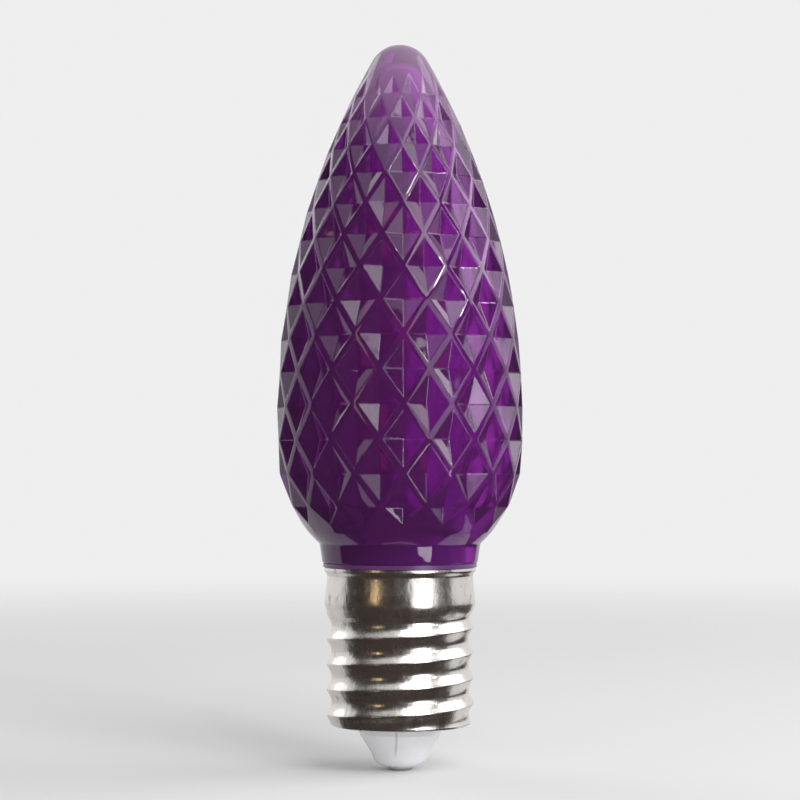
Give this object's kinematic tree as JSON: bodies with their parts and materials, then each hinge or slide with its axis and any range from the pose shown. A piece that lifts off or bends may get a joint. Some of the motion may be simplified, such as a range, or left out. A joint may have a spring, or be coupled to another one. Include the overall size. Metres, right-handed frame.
{
  "type": "faceted led bulb",
  "caption": "Cone-shaped string-light bulb with a diamond-faceted clear purple lens over an LED board, on an intermediate screw base.",
  "frame": {"origin": "on the axis, at the flat end of the centre contact", "axes": "+Z along the axis from the contact to the tip of the lens; -Y faces the camera of the picture"},
  "size_m": [0.0276, 0.0276, 0.0816],
  "materials": {
    "lens_plastic": "clear purple moulded plastic, gloss",
    "holder_plastic": "purple moulded plastic",
    "shell_metal": "bright nickel plate on rolled sheet",
    "insulator_body": "glossy off-white moulding",
    "contact_metal": "tinned brass",
    "board_mask": "white solder mask on glass fibre",
    "component_case": "black moulded case",
    "capacitor_sleeve": "dark shrunk sleeve",
    "lead_wire": "tinned copper",
    "solder": "dull bright solder",
    "led_case": "pale moulded case with a clear window",
    "resistor_chip": "black glaze on ceramic with tinned ends"
  },
  "bodies": {
    "root": {"lens": "lens_plastic", "base_holder": "holder_plastic", "screw_shell": "shell_metal", "insulator": "insulator_body", "centre_contact": "contact_metal", "circuit_board": "board_mask", "bridge_rectifier": "component_case", "smoothing_capacitor": "capacitor_sleeve", "contact_lead": "lead_wire", "shell_lead": "lead_wire", "contact_solder": "solder", "shell_solder": "solder", "board_solder_1": "solder", "board_solder_2": "solder", "led_1": "led_case", "led_2": "led_case", "led_3": "led_case", "led_4": "led_case", "led_5": "led_case", "resistor_1": "resistor_chip", "resistor_2": "resistor_chip", "resistor_3": "resistor_chip", "resistor_4": "resistor_chip"}
  },
  "joints": []
}
